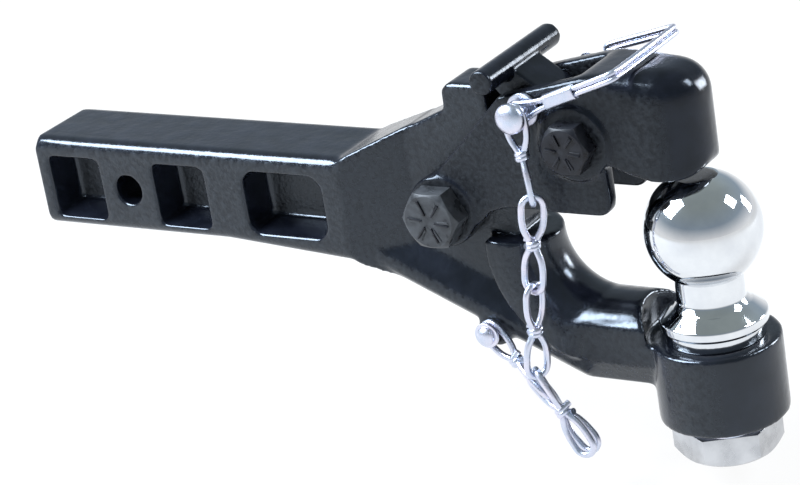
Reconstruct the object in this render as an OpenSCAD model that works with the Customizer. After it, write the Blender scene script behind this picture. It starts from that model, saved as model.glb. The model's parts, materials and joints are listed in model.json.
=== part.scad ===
// Combination ball and pintle hook on a square receiver shank.
// Millimetres. X runs forward to the ball, Z is up, and the origin lies on the hitch-pin hole,
// midway between the shank's sides.

/* [Shank] */
// Width and height of the square shank
shank_w = 50.8; // [44:0.1:64]
// Hitch-pin hole to the rear end of the shank
shank_tail = 61; // [50:1:80]
// Hitch-pin hole to the shoulder where the slope begins
shank_run = 139; // [134:1:160]
// Diameter of the hitch-pin hole
pin_hole_d = 16.7; // [12:0.1:20]
// Hitch-pin hole below the middle of the shank
pin_hole_drop = 1; // [0:0.5:3]
// How far the underside drops before it reaches the shoulder
shank_swell = 6; // [0:0.5:8]
// Hitch-pin hole to where the underside begins to drop
swell_start = 60; // [40:1:100]
// Thickness of the wall left between the pockets of both sides
pocket_wall = 13; // [8:1:20]
// Shank above the pockets
rail_top = 10; // [6:0.5:14]
// Shank below the pockets
rail_bottom = 5.5; // [4:0.5:10]
// Corner radius of the pockets
pocket_r = 6; // [3:0.5:8]
// How much each pocket narrows towards its floor
pocket_draft = 4; // [1:0.5:6]
// Corner radius of the front pocket
pocket_c_r = 11; // [6:0.5:14]
// Rear edge of the rear pocket
pocket_a_x = -53; // [-55:1:-50]
// Length of the rear pocket
pocket_a_len = 35; // [28:1:38]
// Rear edge of the middle pocket
pocket_b_x = 18; // [16:1:24]
// Length of the middle pocket
pocket_b_len = 34; // [28:1:40]
// Rear edge of the front pocket
pocket_c_x = 77; // [72:1:82]
// Length of the front pocket
pocket_c_len = 50; // [40:1:54]

/* [Tower] */
// Thickness of the tower between the latch's walls
tower_t = 26; // [22:0.5:30]
// Where the sides of the body have narrowed to the tower
taper_end = 179; // [172:1:182]
// Rear face of the ear on top of the tower
ear_x = 201; // [196:1:206]
// Length of the ear
ear_len = 25; // [18:1:27]
// Top of the ear
ear_top = 67; // [62:0.5:68]
// Height where the slope meets the ear
slope_top = 53; // [46:0.5:56]

/* [Belly rim] */
// Thickness of the rim along the underside of the body
rim_w = 43; // [36:1:46]
// Height of the rim's upright part
rim_h = 10; // [6:1:14]
// Height at which the rim has faded into the tower
rim_fade = 24; // [18:1:28]
// Bevel along the rim's lower edges
rim_bevel = 5; // [1:0.5:8]
// Slope of the underside
belly_lean = 23.7; // [21:0.1:26]

/* [Throat] */
// Throat centre, forward of the hitch-pin hole
throat_x = 277; // [272:1:280]
// Throat centre, height
throat_z = -16; // [-20:0.5:-12]
// Radius from the throat centre to the crown of the wearing face
throat_r = 27; // [24:0.5:30]
// Width of the throat
throat_w = 48; // [42:1:52]
// How far the edges of the wearing face fall back from its crown
throat_sag = 21; // [14:0.5:22]
// Thickness of the rim along the throat's edges
throat_rim = 9; // [6:0.5:12]

/* [Jaw] */
// Crown of the lower jaw
jaw_top = -43.5; // [-46:0.5:-40]
// How far the jaw's edges fall below its crown
jaw_sag = 10.5; // [6:0.5:14]
// Width of the lower jaw
jaw_w = 45; // [40:0.5:47]
// Underside of the lower jaw
jaw_bottom = -86; // [-92:0.5:-82]

/* [Ball] */
// Diameter of the tow ball
ball_d = 58.74; // [50.8:0.01:60.3]
// Ball axis, forward of the hitch-pin hole
ball_x = 331; // [326:1:340]
// Height of the ball's centre
ball_z = -5.4; // [-8:0.1:-5]
// Flat on top of the ball, across
ball_flat_d = 22; // [10:1:30]
// Neck diameter
neck_d = 34; // [28:0.5:36]
// Flange diameter
flange_d = 54; // [48:0.5:58]
// Diameter of the flange's foot
flange_foot_d = 50; // [44:0.5:54]
// Height of the flange's foot
flange_foot = 6.5; // [4:0.5:9]
// Height of the flange's upright band
flange_band = 5; // [3:0.5:8]
// Height of the cone between neck and flange band
flange_cone = 7; // [5:0.5:10]
// Distance across the wrench flats on the flange
flange_flats = 45; // [42:0.5:49]
// Threaded shank diameter
ball_shank_d = 31.75; // [25.4:0.05:31.75]
// Diameter of the ball boss on the jaw
boss_d = 64.8; // [58:0.2:70]
// Top of the ball boss
boss_top = -61.7; // [-66:0.1:-58]
// Height of the ball boss
boss_h = 42; // [34:0.5:46]
// Diameter of the seat cut into the jaw around the flange
seat_d = 69; // [64:0.5:76]
// Ball nut, across flats
ball_nut_af = 47.6; // [44:0.1:52]
// Ball nut height
ball_nut_h = 16; // [12:0.5:26]
// Lock washer thickness
lock_washer_t = 4; // [2:0.5:6]
// Lock washer outer diameter
lock_washer_d = 48; // [44:0.5:52]

/* [Latch] */
// Overall width of the latch over its walls
latch_w = 48; // [44:0.5:54]
// Gap between the latch walls
latch_gap = 29.2; // [28:0.1:31]
// Top of the latch's rear corner
latch_back_z = 66; // [62:0.5:68]
// Rear corner of the latch, forward of the hitch-pin hole
latch_back_x = 241; // [238:0.5:244]
// Top of the nose
nose_top = 79; // [77:0.2:83]
// Front of the nose
nose_front = 342; // [338:1:348]
// Width of the nose
nose_w = 45; // [40:0.5:48]
// Rounding along the top edges of the nose
nose_crown_r = 15; // [8:0.5:18]
// Underside of the nose
nose_bottom = 26; // [25:0.5:30]
// Rounding of the nose's upper front
nose_r = 17; // [10:0.5:19]
// Front of the chin
chin_x = 295; // [290:0.5:298]
// Underside of the chin
chin_z = 6.3; // [4:0.1:10]
// Front end of the opening on top of the latch
well_front = 283; // [278:0.5:286]
// Front wall inside the latch
well_end = 297; // [294:0.5:302]
// Radius of the round bosses under both bolts
bolt_boss_r = 19; // [17:0.5:21]
// Height of the round bosses
bolt_boss_h = 2; // [1:0.5:3]

/* [Bolts] */
// Latch pivot, forward of the hitch-pin hole
pivot_x = 199; // [197:0.5:201]
// Latch pivot height
pivot_z = 3; // [1:0.5:5]
// Latch pivot bolt diameter
pivot_d = 19.05; // [16:0.05:20]
// Latch pivot bolt, across flats
pivot_af = 28.6; // [26:0.1:30]
// Latch pivot bolt head height
pivot_head_h = 12; // [9:0.5:14]
// Latch pivot nut height
pivot_nut_h = 16; // [12:0.5:20]
// Lock bolt, forward of the hitch-pin hole
lock_x = 280.5; // [279:0.5:282]
// Lock bolt height
lock_z = 44.5; // [43:0.5:46]
// Lock bolt diameter
lock_d = 15.88; // [14:0.02:16.5]
// Lock bolt, across flats
lock_af = 23.8; // [22:0.1:25]
// Lock bolt head height
lock_head_h = 10; // [8:0.5:11]
// Lock nut height
lock_nut_h = 13.5; // [11:0.5:15]
// Flat washer thickness
washer_t = 3; // [2:0.5:4]
// Wall of the bush that the latch pivot turns in
bush_wall = 3; // [2:0.25:4]

/* [Lock lever] */
// Crossbar diameter
bar_d = 12.6; // [10:0.2:14]
// Crossbar length
bar_len = 70; // [60:1:76]
// Crossbar, forward of the hitch-pin hole
bar_x = 239.5; // [238:0.5:242]
// Crossbar height
bar_z = 77; // [76:0.5:80]
// Width of the lever's plate
lever_w = 26; // [22:0.5:28]
// Thickness of the lever's plate
lever_t = 6; // [4.5:0.25:7]
// Radius of the lever's eye
lever_eye_r = 11; // [10:0.25:12]
// Thickness of each cheek under the plate
cheek_t = 5; // [3.5:0.25:6]
// Lift of the lever that frees the latch, degrees
lever_lift = 18; // [14:1:22]

/* [Spring] */
// Spring wire diameter
spring_wire = 2; // [1.5:0.1:2.4]
// Number of spring coils
spring_turns = 4; // [3:1:5]

/* [Safety pin] */
// Pin diameter
pin_d = 9.5; // [8:0.1:10.5]
// Pin, forward of the hitch-pin hole
pin_x = 255.5; // [254:0.5:257]
// Pin height
pin_z = 61; // [60:0.5:62]
// Collar diameter
collar_d = 17; // [14:0.5:19]
// Collar thickness
collar_t = 2; // [1.5:0.25:3]
// Neck diameter
pin_neck_d = 6.6; // [5.5:0.1:6.8]
// Neck length
pin_neck_len = 10.8; // [10.4:0.1:12]
// Dome head diameter
dome_d = 15.6; // [13:0.2:17]
// Dome head height
dome_h = 5.5; // [4:0.25:7]
// How far the pin's tip stands out of the far wall
pin_tip = 19; // [16:0.5:21]
// Width of the groove for the bail near the tip
pin_groove_w = 5; // [4:0.25:6]

/* [Bail] */
// Bail wire diameter
bail_wire = 2.8; // [2:0.1:3]
// Where the bail crosses over the latch, forward of the hitch-pin hole
bail_cross_x = 310.5; // [306:0.5:316]
// Twist of the bail that lifts its far end clear of the pin, degrees
bail_twist = 20; // [18:1:22]
// Closed end of the bail ahead of the pin's axis, clear of the lifted lever
bail_stop = 16.5; // [16:0.5:20]
// Crimp sleeve length
sleeve_len = 18; // [14:0.5:22]
// Crimp sleeve wall
sleeve_wall = 1; // [0.6:0.1:1.4]

/* [Chain] */
// Chain wire diameter
chain_wire = 3.4; // [2.8:0.1:3.6]
// Pitch of the links
chain_pitch = 46; // [44:0.25:48]
// Outer width of the loops
loop_w = 14.4; // [13.5:0.1:16]
// Lean of the top link towards the ball, degrees
lean_top = 6; // [0:0.5:10]
// Lean of the two links under it towards the shank, degrees
lean_hang = 5.5; // [0:0.5:8]
// Rivet, forward of the hitch-pin hole
rivet_x = 217; // [214:0.5:220]
// Rivet height
rivet_z = -61.5; // [-64:0.5:-60]
// Rivet shank diameter
rivet_d = 5.6; // [4.6:0.1:6.4]
// Rivet flange diameter
rivet_flange_d = 13.4; // [11:0.2:15]

/* [Fits] */
// Running clearance of pins in their bores, on the diameter
run_fit = 0.14; // [0.06:0.02:0.2]
// Clearance of bolts in drilled holes, on the diameter
bolt_fit = 0.5; // [0.3:0.1:1]
// Side clearance between faces that pass each other
side_fit = 0.3; // [0.2:0.05:0.5]

/* [Hidden] */
$fn = 64;

paint_black = [0.06, 0.06, 0.07];
bolt_black = [0.12, 0.12, 0.13];
zinc = [0.78, 0.79, 0.84];
chrome = [0.85, 0.86, 0.88];
spring_steel = [0.35, 0.36, 0.38];

far = 500;
shank_top = shank_w / 2 + pin_hole_drop;
shank_low = shank_top - shank_w;
shoulder_low = shank_low - shank_swell;
pivot = [pivot_x, pivot_z];
lock = [lock_x, lock_z];
pin = [pin_x, pin_z];
wall_out = latch_w / 2;
wall_in = latch_gap / 2;
bolt_seat = wall_out + bolt_boss_h;
bush_d = pivot_d + run_fit + 2 * bush_wall;
belly_start = [shank_run + 2, shoulder_low];
belly_run = (shoulder_low - jaw_bottom) / sin(belly_lean);
belly_end = belly_start + belly_run * [cos(belly_lean), -sin(belly_lean)];
spot_r = seat_d / 2;
lever_sweep_r = norm([ear_x + ear_len - pivot_x, ear_top - pivot_z]) + 2 * side_fit;

// Shapes used by several pieces

// Side outline (x, z), given a thickness along Y and centred on the middle plane
module side(t) {
    rotate([90, 0, 0])
        linear_extrude(t, center = true)
            children();
}

// Plan outline (x, y), taken through the whole height
module plan() {
    linear_extrude(2 * far, center = true)
        children();
}

// Round bar along Y at (x, z), from y0 to y1
module bar_y(at, d, y0, y1) {
    translate([at[0], y0, at[1]])
        rotate([-90, 0, 0])
            cylinder(d = d, h = y1 - y0);
}

// Turned piece along Y at (x, z): its outline is (radius, y)
module turned_y(at) {
    translate([at[0], 0, at[1]])
        rotate([-90, 0, 0])
            rotate_extrude()
                children();
}

// Points on an arc about c
function arc(c, r, a0, a1, n = 8) =
    [for (k = [0:n]) c + r * [cos(a0 + (a1 - a0) * k / n), sin(a0 + (a1 - a0) * k / n)]];

// Rectangle from a to b with round corners
module round_rect(a, b, r) {
    translate([a[0] + r, a[1]])
        square([b[0] - a[0] - 2 * r, b[1] - a[1]]);
    translate([a[0], a[1] + r])
        square([b[0] - a[0], b[1] - a[1] - 2 * r]);
    for (x = [a[0] + r, b[0] - r], y = [a[1] + r, b[1] - r])
        translate([x, y])
            circle(r);
}

function unit(v) = v / norm(v);
function mean_dir(p, i) =
    i == 0 ? unit(p[1] - p[0])
    : i == len(p) - 1 ? unit(p[i] - p[i - 1])
    : unit(unit(p[i] - p[i - 1]) + unit(p[i + 1] - p[i]));

// Normals carried along a path without twisting
function carried(p, first, i = 0, out = []) =
    i == len(p) ? out
    : let (t = mean_dir(p, i),
           n = i == 0 ? first : out[i - 1],
           m = unit(n - (n * t) * t))
      carried(p, first, i + 1, concat(out, [m]));

// Round wire swept along a path
module wire(path, d, first, sides = 8) {
    normals = carried(path, first);
    rings = len(path);
    points = [for (i = [0:rings - 1])
        let (t = mean_dir(path, i), n = normals[i], b = cross(t, n))
            for (k = [0:sides - 1])
                path[i] + d / 2 * (cos(360 * k / sides) * n + sin(360 * k / sides) * b)];
    skin = [for (i = [0:rings - 2], k = [0:sides - 1])
        let (j = (k + 1) % sides)
            [i * sides + k, (i + 1) * sides + k, (i + 1) * sides + j, i * sides + j]];
    ends = [[for (k = [0:sides - 1]) k],
            [for (k = [0:sides - 1]) rings * sides - 1 - k]];
    polyhedron(points, concat(skin, ends));
}

// Hex prism along Z with its outer corners turned off
module hex(af, h) {
    corner_d = af / cos(30);
    intersection() {
        cylinder(d = corner_d, h = h, $fn = 6);
        union() {
            cylinder(d = corner_d + 1, h = h - (corner_d - af) / 2);
            translate([0, 0, h - (corner_d - af) / 2])
                cylinder(d1 = corner_d, d2 = af * 0.94, h = (corner_d - af) / 2);
        }
    }
}

// Hook body

// Square shank whose sides narrow into the tower
module shank() {
    slope = (slope_top - shank_top) / (ear_x - shank_run);
    bury = 1;
    intersection() {
        side(2 * far)
            polygon([
                [-shank_tail, shank_low], [swell_start, shank_low], [shank_run, shoulder_low],
                [taper_end, shoulder_low - (taper_end - shank_run) * tan(belly_lean) + 2],
                [taper_end, shank_top + slope * (taper_end - shank_run)],
                [shank_run, shank_top], [-shank_tail, shank_top]
            ]);
        plan()
            polygon([
                [-far, shank_w / 2], [shank_run, shank_w / 2], [taper_end, tower_t / 2 - bury],
                [far, tower_t / 2 - bury], [far, -tower_t / 2 + bury],
                [taper_end, -tower_t / 2 + bury], [shank_run, -shank_w / 2], [-far, -shank_w / 2]
            ]);
    }
}

// Tower and web seen from the side
module web_outline() {
    ear_front = ear_x + ear_len;
    web_r = throat_r + throat_sag - 6;
    polygon(concat(
        [[shank_run - 10, shoulder_low + 4], [shank_run - 10, shank_top - 4], [shank_run + 2, shank_top - 1]],
        [[ear_x, slope_top], [ear_x, ear_top - 4], [ear_x + 4, ear_top]],
        [[ear_front, ear_top], [throat_x - web_r - 1, pivot_z + 12]],
        arc([throat_x, throat_z], web_r, 165, 262),
        [belly_end + [10, 14], belly_end + [0, 1.5], belly_start + [0, 1.5]]
    ));
}

// Thick rim along the sloping underside, fading into the web
module belly_rim() {
    bury = 0.1;
    fade = [tower_t / 2, rim_fade] + bury * [(tower_t - rim_w) / 2, rim_fade - rim_h];
    translate([belly_start[0], 0, belly_start[1]])
        rotate([0, belly_lean, 0])
            rotate([90, 0, 90])
                linear_extrude(belly_run - 1.5)
                    polygon([
                        [-rim_w / 2 + rim_bevel, 0], [rim_w / 2 - rim_bevel, 0],
                        [rim_w / 2, rim_bevel], [rim_w / 2, rim_h], fade,
                        [-fade[0], fade[1]], [-rim_w / 2, rim_h], [-rim_w / 2, rim_bevel]
                    ]);
}

// Rounded wearing face of the throat, with a rim along each edge
module throat() {
    edge = throat_r + throat_sag;
    bow_r = (pow(throat_w / 2, 2) + pow(throat_sag, 2)) / (2 * throat_sag);
    translate([throat_x, 0, throat_z])
        rotate([90, 0, 0])
            rotate([0, 0, 175])
                rotate_extrude(angle = 84) {
                    intersection() {
                        translate([throat_r + bow_r, 0])
                            circle(bow_r);
                        translate([throat_r - 1, -throat_w / 2])
                            square([throat_sag + 1 + throat_rim / 2, throat_w]);
                    }
                    translate([edge, -throat_w / 2])
                        square([throat_rim, throat_w]);
                }
}

// Lower jaw that carries the ball
module jaw() {
    bow_r = (pow(jaw_w / 2, 2) + pow(jaw_sag, 2)) / (2 * jaw_sag);
    flank = 7;
    start = belly_end[0] - 17;
    intersection() {
        translate([start, 0, 0])
            rotate([90, 0, 90])
                linear_extrude(ball_x - start)
                    intersection() {
                        translate([0, jaw_top - bow_r])
                            circle(bow_r);
                        polygon([
                            [-jaw_w / 2 + flank, jaw_bottom], [jaw_w / 2 - flank, jaw_bottom],
                            [jaw_w / 2, jaw_bottom + 2 * flank], [jaw_w / 2, jaw_top],
                            [-jaw_w / 2, jaw_top], [-jaw_w / 2, jaw_bottom + 2 * flank]
                        ]);
                    }
        side(2 * far)
            polygon([
                [start, jaw_top], [start, jaw_bottom + 13], belly_end,
                [ball_x, jaw_bottom], [ball_x, jaw_top]
            ]);
    }
}

// Trapezium that narrows by the pocket's draft from its mouth inwards
module drafted(length, depth) {
    run = 1;
    rate = pocket_draft / depth;
    mouth = length / 2 + run * rate;
    floor = length / 2 - (depth + run) * rate;
    polygon([[-mouth, -run], [mouth, -run], [floor, depth + run], [-floor, depth + run]]);
}

// One drafted pocket, cut from the near side (s = -1) or the far side (s = 1)
module pocket(s, x0, length, r) {
    z0 = shank_low + rail_bottom;
    height = shank_w - rail_bottom - rail_top;
    depth = (shank_w - pocket_wall) / 2;
    mouth = [length, height] / 2 + [0.5, 0.5];
    translate([x0 + length / 2, s * shank_w / 2, z0 + height / 2])
        rotate([s * 90, 0, 0])
            intersection() {
                translate([0, 0, -0.5])
                    linear_extrude(depth + 0.5)
                        round_rect(-mouth, mouth, r);
                rotate([90, 0, 0])
                    linear_extrude(2 * height, center = true)
                        drafted(length, depth);
                rotate([90, 0, 90])
                    linear_extrude(2 * length, center = true)
                        drafted(height, depth);
            }
}

module hook_body() {
    rivet_lug_r = rivet_flange_d / 2 + 3;
    color(paint_black)
        difference() {
            union() {
                shank();
                side(tower_t)
                    web_outline();
                belly_rim();
                throat();
                jaw();
                translate([ball_x, 0, boss_top - boss_h])
                    cylinder(d = boss_d, h = boss_h);
                bar_y([rivet_x, rivet_z], 2 * rivet_lug_r, -rim_w / 2, 0);
            }
            bar_y([0, 0], pin_hole_d, -far, far);
            for (s = [-1, 1]) {
                pocket(s, pocket_a_x, pocket_a_len, pocket_r);
                pocket(s, pocket_b_x, pocket_b_len, pocket_r);
                pocket(s, pocket_c_x, pocket_c_len, pocket_c_r);
            }
            bar_y(pivot, bush_d, -far, far);
            translate([ball_x, 0, boss_top])
                cylinder(r = spot_r, h = far);
            translate([ball_x, 0, boss_top - boss_h - 1])
                cylinder(d = ball_shank_d + bolt_fit, h = boss_h + 2);
            bar_y([rivet_x, rivet_z], rivet_d, -far, far);
        }
}

module pivot_bush() {
    reach = wall_in - side_fit;
    color(spring_steel)
        turned_y(pivot)
            translate([(pivot_d + run_fit) / 2, -reach])
                square([bush_wall, 2 * reach]);
}

// Ball, nut and washer

module tow_ball() {
    r = ball_d / 2;
    flat_z = sqrt(r * r - pow(ball_flat_d / 2, 2));
    neck_z = -sqrt(r * r - pow(neck_d / 2, 2));
    seat_z = boss_top - ball_z;
    band_z = seat_z + flange_foot;
    cone_z = band_z + flange_band;
    tip_z = seat_z - boss_h - lock_washer_t - ball_nut_h - 3;
    color(chrome)
        translate([ball_x, 0, ball_z]) {
            intersection() {
                sphere(r);
                translate([0, 0, -far])
                    cylinder(r = far, h = far + flat_z);
            }
            translate([0, 0, cone_z])
                cylinder(d = neck_d, h = neck_z - cone_z + 4);
            intersection() {
                union() {
                    translate([0, 0, seat_z])
                        cylinder(d = flange_foot_d, h = flange_foot);
                    translate([0, 0, band_z])
                        cylinder(d = flange_d, h = flange_band);
                    translate([0, 0, cone_z])
                        cylinder(d1 = flange_d, d2 = neck_d - 1, h = flange_cone);
                }
                translate([-flange_flats / 2, -far, seat_z])
                    cube([flange_flats, 2 * far, far]);
            }
            translate([0, 0, tip_z])
                cylinder(d = ball_shank_d, h = seat_z - tip_z + 1);
        }
}

module ball_lock_washer() {
    color(zinc)
        translate([ball_x, 0, boss_top - boss_h - lock_washer_t])
            difference() {
                cylinder(d = lock_washer_d, h = lock_washer_t);
                translate([0, 0, -1])
                    cylinder(d = ball_shank_d + bolt_fit, h = lock_washer_t + 2);
                translate([ball_shank_d / 2 - 2, -1, -1])
                    cube([far, 2, lock_washer_t + 2]);
            }
}

module ball_nut() {
    color(chrome)
        translate([ball_x, 0, boss_top - boss_h - lock_washer_t])
            mirror([0, 0, 1])
                difference() {
                    rotate([0, 0, 30])
                        hex(ball_nut_af, ball_nut_h);
                    translate([0, 0, -1])
                        cylinder(d = ball_shank_d + bolt_fit, h = ball_nut_h + 2);
                }
}

// Latch

// Side outline of the latch without its bolt bosses
module latch_outline() {
    lobe = 15;
    lean = atan2(latch_back_z - pivot_z - lobe * 0.71, latch_back_x - pivot_x + lobe * 0.7);
    under = chin_z + 1;
    corner = 7;
    crest_x = nose_front - nose_r - 11;
    polygon(concat(
        [pivot + lobe * [-sin(lean), cos(lean)], [latch_back_x, latch_back_z]],
        [[latch_back_x + 16, latch_back_z + 4], [lock_x + 7.5, nose_top - 1.4], [crest_x, nose_top]],
        arc([nose_front - nose_r, nose_top - nose_r], nose_r, 90, 0),
        arc([nose_front - 10, nose_bottom + 10], 10, 0, -90, 6),
        [[nose_front - 24, nose_bottom], [chin_x + 12, nose_bottom + 3]],
        arc([chin_x + 5, nose_bottom + 11], 5, 270, 180, 4),
        arc([chin_x - corner, chin_z + corner], corner, 0, -90, 6),
        [[chin_x - 22, chin_z], [pivot_x + 56, under], [pivot_x + 38, under], [pivot_x + 28, under - 3]],
        [pivot + bolt_boss_r * [cos(-28), sin(-28)], pivot]
    ));
}

// Hollow between the latch walls, open below and at the rear
module latch_hollow() {
    polygon([
        [pivot_x - 60, pivot_z - 80], [well_end, pivot_z - 80], [well_end, lock_z + 15],
        [well_end - 6, lock_z + 20], [well_front, lock_z + 20], [well_front, nose_top + 20],
        [pivot_x - 60, nose_top + 20]
    ]);
}

// Cross-section of the latch (y, z) with its upper edges rounded
module latch_section(half, r) {
    low = chin_z - 30;
    translate([-half, low])
        square([2 * half, nose_top - low - r]);
    translate([-half + r, low])
        square([2 * (half - r), nose_top - low]);
    for (s = [-1, 1])
        translate([s * (half - r), nose_top - r])
            circle(r, $fn = 32);
}

// Envelope of the latch: square over the walls, rounding off towards the bulb of the nose
module latch_form() {
    bulb_x = nose_front - nose_w / 2;
    rear_x = lock_x - 10;
    wall_edge_r = 3;
    slice = 1;
    translate([pivot_x - 60, -wall_out, pivot_z - 60])
        cube([rear_x - pivot_x + 60, latch_w, far]);
    hull()
        for (at = [[rear_x - slice, wall_out, wall_edge_r], [bulb_x, nose_w / 2, nose_crown_r]])
            translate([at[0], 0, 0])
                rotate([90, 0, 90])
                    linear_extrude(slice)
                        latch_section(at[1], at[2]);
    translate([bulb_x, 0, 0])
        rotate_extrude()
            intersection() {
                latch_section(nose_w / 2, nose_crown_r);
                translate([0, -far])
                    square(2 * far);
            }
}

module latch() {
    color(paint_black)
        difference() {
            union() {
                intersection() {
                    side(latch_w) {
                        latch_outline();
                        translate(pivot)
                            circle(bolt_boss_r);
                    }
                    latch_form();
                }
                bar_y(pivot, 2 * bolt_boss_r, -bolt_seat, bolt_seat);
                bar_y(lock, 2 * bolt_boss_r, -bolt_seat, bolt_seat);
            }
            side(latch_gap)
                latch_hollow();
            bar_y(pivot, pivot_d + bolt_fit, -far, far);
            bar_y(lock, lock_d + bolt_fit, -far, far);
            bar_y(pin, pin_d + run_fit, -far, far);
        }
}

// Bolts, nuts and washers

// Hex bolt along Y: its head stands on the near boss and its tip passes the far nut
module hex_bolt(at, d, af, head_h, nut_h) {
    tip = bolt_seat + washer_t + nut_h + 3;
    mark = [af * 0.24, 1.2, 1];
    bar_y(at, d, -bolt_seat - 1, tip);
    translate([at[0], -bolt_seat, at[1]])
        rotate([90, 0, 0]) {
            hex(af, head_h);
            for (k = [0:5])
                rotate([0, 0, 60 * k])
                    translate([af * 0.17, -mark[1] / 2, head_h - 0.5])
                        cube(mark);
        }
}

// Plain washer on the far boss
module flat_washer(at, d, outer) {
    difference() {
        bar_y(at, outer, bolt_seat, bolt_seat + washer_t);
        bar_y(at, d + bolt_fit, bolt_seat - 1, bolt_seat + washer_t + 1);
    }
}

// Hex nut on the far washer
module far_nut(at, d, af, h) {
    translate([at[0], bolt_seat + washer_t, at[1]])
        rotate([-90, 0, 0])
            difference() {
                hex(af, h);
                translate([0, 0, -1])
                    cylinder(d = d + bolt_fit, h = h + 2);
            }
}

module pivot_bolt() {
    color(bolt_black)
        hex_bolt(pivot, pivot_d, pivot_af, pivot_head_h, pivot_nut_h);
}

module pivot_washer() {
    color(bolt_black)
        flat_washer(pivot, pivot_d, pivot_af + 8);
}

module pivot_nut() {
    color(bolt_black)
        far_nut(pivot, pivot_d, pivot_af, pivot_nut_h);
}

module lock_bolt() {
    color(bolt_black)
        hex_bolt(lock, lock_d, lock_af, lock_head_h, lock_nut_h);
}

module lock_washer() {
    color(bolt_black)
        flat_washer(lock, lock_d, lock_af + 8);
}

module lock_nut() {
    color(bolt_black)
        far_nut(lock, lock_d, lock_af, lock_nut_h);
}

// Lock lever and spring

bar = [bar_x, bar_z];
plate_foot = lock + [-6, lever_eye_r - lever_t / 2];
plate_dir = unit(plate_foot - bar);
plate_up = [-plate_dir[1], plate_dir[0]];
slot_r = norm(pin - lock);
slot_a = atan2(pin_z - lock_z, pin_x - lock_x);
slot_w = pin_d + 4 * side_fit;

// Arc slot that lets the lever lift past the safety pin
module pin_slot() {
    sweep = lever_lift + 3;
    translate(lock)
        polygon(concat(
            arc([0, 0], slot_r + slot_w / 2, slot_a, slot_a + sweep, 6),
            arc([0, 0], slot_r - slot_w / 2, slot_a + sweep, slot_a, 6)
        ));
    for (a = [slot_a, slot_a + sweep])
        translate(lock + slot_r * [cos(a), sin(a)])
            circle(d = slot_w);
}

// Cheek under the plate, with the claw that meets the ear
module cheek_outline() {
    polygon([
        bar + [-8, 2], bar + 3 * plate_up, plate_foot, lock + [0, -lever_eye_r + 1],
        lock + [-14, -9], pin + [0, -16], pin + [-12, -9], bar + [-9, -8]
    ]);
}

module lock_lever() {
    gap_half = lever_w / 2 - cheek_t;
    eye_half = wall_in - side_fit;
    color(paint_black)
        difference() {
            union() {
                bar_y(bar, bar_d, -bar_len / 2, bar_len / 2);
                side(lever_w)
                    polygon([
                        bar + lever_t / 2 * plate_up, plate_foot + lever_t / 2 * plate_up,
                        plate_foot - lever_t / 2 * plate_up, bar - lever_t / 2 * plate_up
                    ]);
                difference() {
                    side(lever_w)
                        cheek_outline();
                    side(2 * gap_half)
                        polygon([
                            bar + [5, -4], plate_foot - lever_t / 2 * plate_up, lock + [far, 0],
                            lock + [0, -far], pin + [-14, -far], bar + [5, -12]
                        ]);
                }
                bar_y(lock, 2 * lever_eye_r, -eye_half, eye_half);
            }
            bar_y(lock, 2 * lever_eye_r + 4, -gap_half, gap_half);
            bar_y(lock, lock_d + run_fit, -far, far);
            bar_y(pivot, 2 * lever_sweep_r, -far, far);
            side(2 * far)
                pin_slot();
        }
}

// Torsion spring round the lock bolt: one leg lies under the plate, the other leans on the nose
module lock_spring() {
    r = lock_d / 2 + spring_wire / 2 + 3 * side_fit;
    steps = 12;
    turns = spring_turns + 0.25;
    width = lever_w - 2 * cheek_t - spring_wire - 4 * side_fit;
    leg = 11;
    start = 180 - 35;
    end_a = start - 360 * turns;
    coil = [for (k = [0:turns * steps])
        let (a = start - 360 * k / steps)
            [lock_x + r * cos(a), width / 2 - width * k / (turns * steps), lock_z + r * sin(a)]];
    tail = [lock_x + r * cos(end_a), -width / 2, lock_z + r * sin(end_a)];
    color(spring_steel)
        wire(concat(
            [coil[0] - leg * [sin(start), 0, -cos(start)]],
            coil,
            [tail + leg * [sin(end_a), 0, -cos(end_a)]]
        ), spring_wire, [0, 1, 0]);
}

// Safety pin and bail

pin_seat = -wall_out - side_fit;
loop_gap = 0.6;
neck_end = pin_seat - collar_t - pin_neck_len;
tip_y = wall_out + pin_tip;
groove_y = tip_y - pin_groove_w - 2;

module safety_pin() {
    r = pin_d / 2;
    color(zinc)
        turned_y(pin)
            polygon(concat(
                [[0, tip_y], [r - 2, tip_y], [r, tip_y - 1.5], [r, groove_y + pin_groove_w]],
                [[r - 1.2, groove_y + pin_groove_w], [r - 1.2, groove_y], [r, groove_y]],
                [[r, pin_seat], [collar_d / 2, pin_seat], [collar_d / 2, pin_seat - collar_t]],
                [[pin_neck_d / 2, pin_seat - collar_t], [pin_neck_d / 2, neck_end], [dome_d / 2, neck_end]],
                [for (k = [1:6])
                    [dome_d / 2 * cos(15 * k), neck_end - 1 - (dome_h - 1) * sin(15 * k)]]
            ));
}

bail_pair = bail_wire + 0.1;
eye_r = pin_neck_d / 2 + bail_wire / 2 + 0.5;
bail_y = pin_seat - collar_t - side_fit - eye_r * sin(bail_twist) - bail_wire / 2;
bail_top = nose_top + (bail_wire + bail_pair) / 2 + 2 * side_fit;
bail_rise = atan2(bail_top - pin_z, bail_cross_x - pin_x);
bail_out = [cos(bail_rise), 0, sin(bail_rise)];
bail_up = [-sin(bail_rise), 0, cos(bail_rise)];
bail_reach = norm([bail_cross_x - pin_x, bail_top - pin_z]);
bail_far_y = groove_y + pin_groove_w / 2;
sleeve_start = 17;

// A point of the bail: along it, across it (y) and above its plane
function on_bail(along, y, above) = [pin_x, y, pin_z] + along * bail_out + above * bail_up;

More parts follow.
